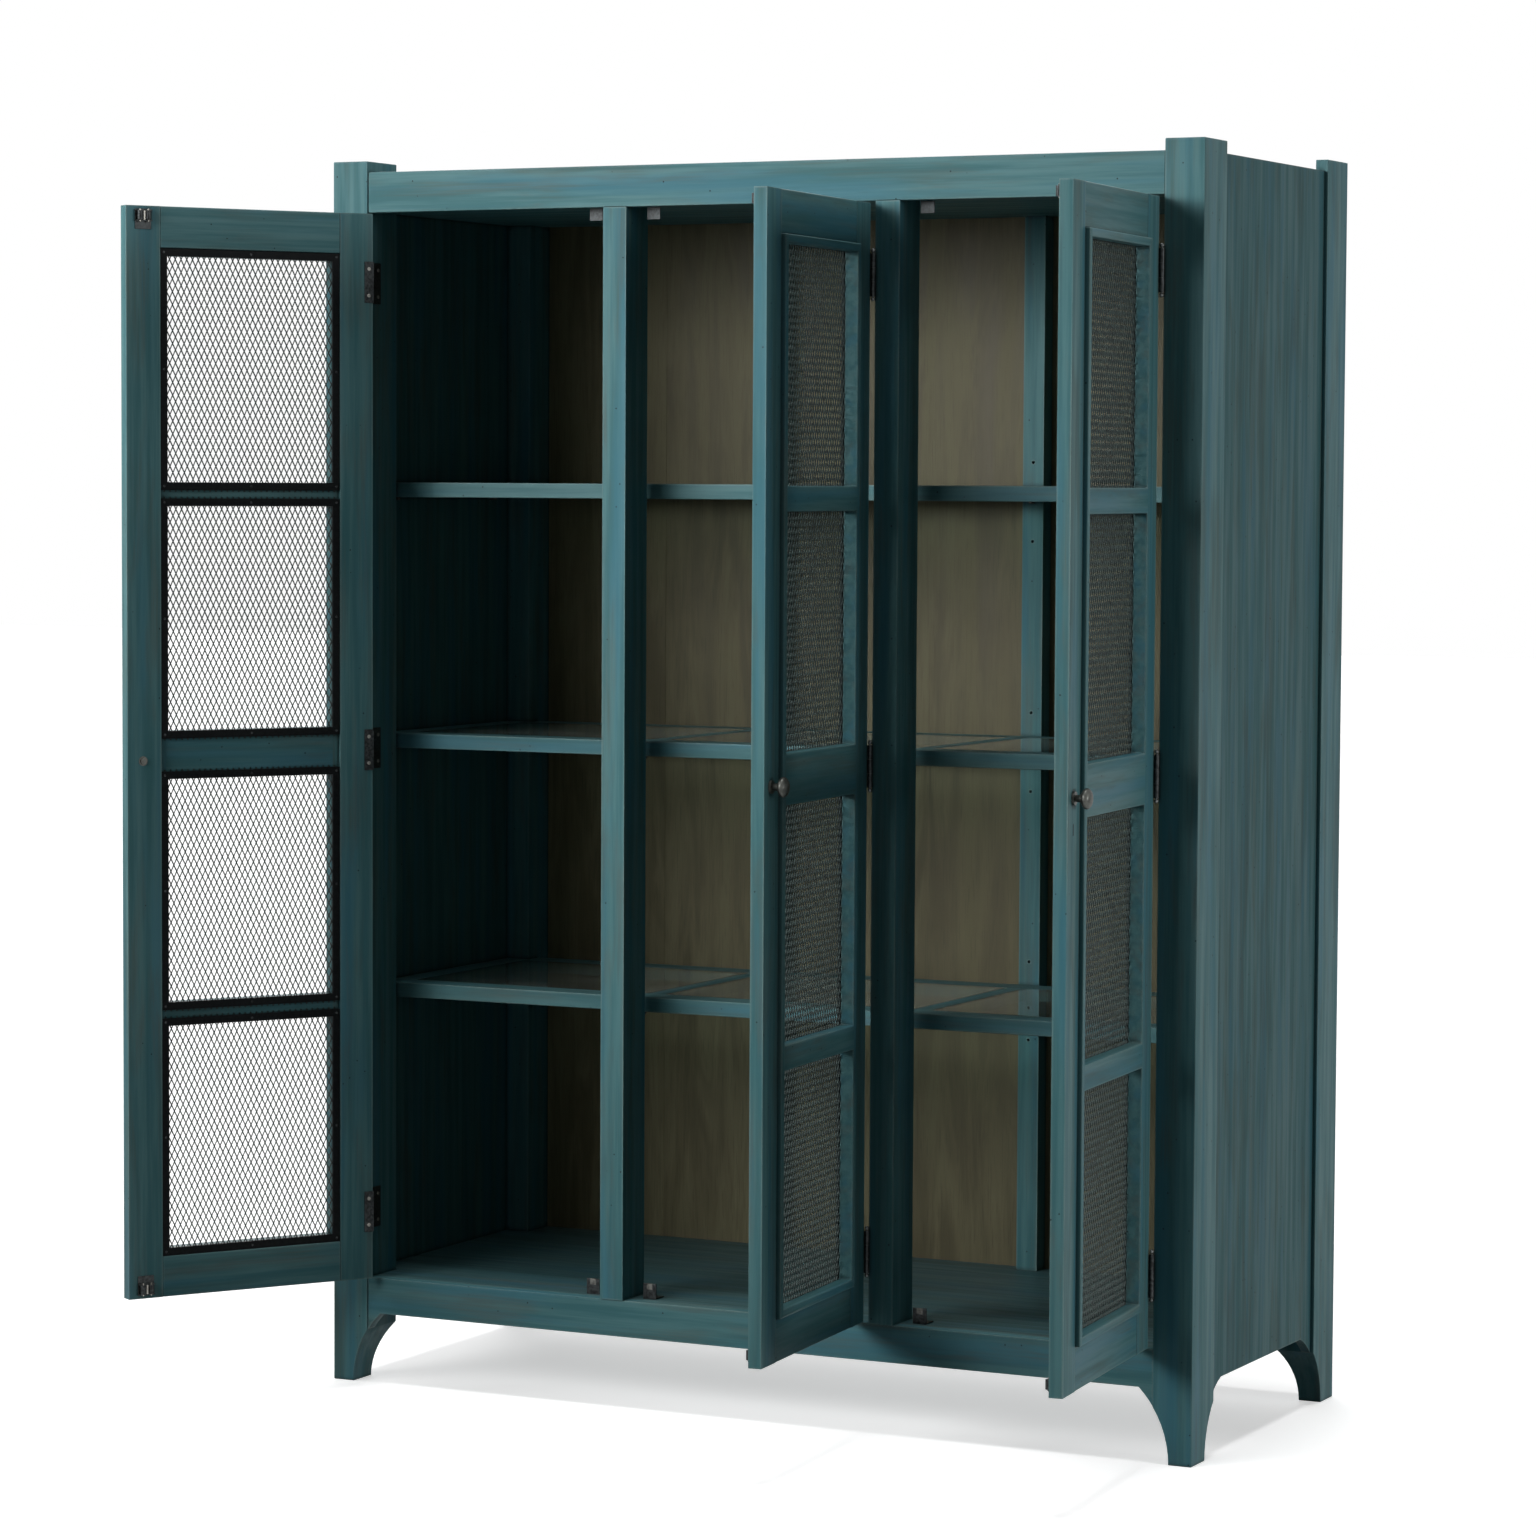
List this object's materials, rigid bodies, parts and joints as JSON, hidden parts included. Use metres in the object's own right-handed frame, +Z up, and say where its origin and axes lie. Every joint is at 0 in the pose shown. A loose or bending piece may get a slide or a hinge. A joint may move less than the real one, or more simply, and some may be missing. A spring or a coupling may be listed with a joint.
{
  "type": "pie safe",
  "caption": "Tall painted pie safe on tapered feet, with framed mesh doors standing open on knuckle hinges, glass shelves and a boarded back",
  "frame": {"origin": "on the floor under the middle of the carcass", "axes": "+X to the right along the front, +Y to the back, +Z up; the doors face -Y"},
  "size_m": [1.6098, 1.0139, 1.9],
  "materials": {
    "teal_paint": "rubbed teal paint over brown wood, worn at the edges",
    "inside_paint": "thin teal paint over brown wood",
    "back_wood": "grey-brown stained boards",
    "glass": "clear float glass",
    "bronze_mesh": "dark bronze expanded metal",
    "black_paint": "black painted strips",
    "pewter": "dull pewter",
    "dark_iron": "dark oxidised iron",
    "bright_steel": "zinc plated"
  },
  "bodies": {
    "cabinet": {"post_front_left": "teal_paint", "post_front_right": "teal_paint", "post_rear_left": "teal_paint", "post_rear_right": "teal_paint", "top_rail": "teal_paint", "bottom_rail": "teal_paint", "mullion_left": "teal_paint", "mullion_right": "teal_paint", "side_panel_left": "teal_paint", "side_panel_right": "teal_paint", "top_board": "teal_paint", "back_boards": "back_wood", "back_rails": "inside_paint", "floor_board": "inside_paint", "ceiling_board": "inside_paint", "rear_divider_left": "inside_paint", "rear_divider_right": "inside_paint", "shelf_frame_bottom": "inside_paint", "shelf_frame_middle": "inside_paint", "shelf_frame_top": "inside_paint", "shelf_glass_bottom": "glass", "shelf_glass_middle": "glass", "shelf_glass_top": "glass", "shelf_pins": "bright_steel", "catch_strikes": "bright_steel", "strike_screws": "bright_steel", "jamb_leaf_screws": "dark_iron", "left_jamb_leaves": "dark_iron", "middle_jamb_leaves": "dark_iron", "right_jamb_leaves": "dark_iron"},
    "left_door": {"left_door_stiles": "teal_paint", "left_door_rails": "teal_paint", "left_door_sash": "teal_paint", "left_door_mesh": "bronze_mesh", "left_door_keepers": "black_paint", "left_door_nails": "dark_iron", "left_door_knob": "pewter", "left_door_hinge_leaves": "dark_iron", "left_door_hinge_pins": "dark_iron", "left_door_catches": "dark_iron"},
    "middle_door": {"middle_door_stiles": "teal_paint", "middle_door_rails": "teal_paint", "middle_door_sash": "teal_paint", "middle_door_mesh": "bronze_mesh", "middle_door_keepers": "black_paint", "middle_door_nails": "dark_iron", "middle_door_knob": "pewter", "middle_door_hinge_leaves": "dark_iron", "middle_door_hinge_pins": "dark_iron", "middle_door_catches": "dark_iron"},
    "right_door": {"right_door_stiles": "teal_paint", "right_door_rails": "teal_paint", "right_door_sash": "teal_paint", "right_door_mesh": "bronze_mesh", "right_door_keepers": "black_paint", "right_door_nails": "dark_iron", "right_door_knob": "pewter", "right_door_hinge_leaves": "dark_iron", "right_door_hinge_pins": "dark_iron", "right_door_catches": "dark_iron"}
  },
  "joints": [
    {"name": "left_door_hinge", "type": "hinge", "parent": "cabinet", "child": "left_door", "pos_m": [-0.6575, -0.304, 0.99325], "axis": [0, 0, -1], "range_deg": [-123, 37]},
    {"name": "middle_door_hinge", "type": "hinge", "parent": "cabinet", "child": "middle_door", "pos_m": [0.20517, -0.304, 0.99325], "axis": [0, 0, 1], "range_deg": [-94.7, 30.3]},
    {"name": "right_door_hinge", "type": "hinge", "parent": "cabinet", "child": "right_door", "pos_m": [0.6575, -0.304, 0.99325], "axis": [0, 0, 1], "range_deg": [-95.4, 64.6]}
  ]
}
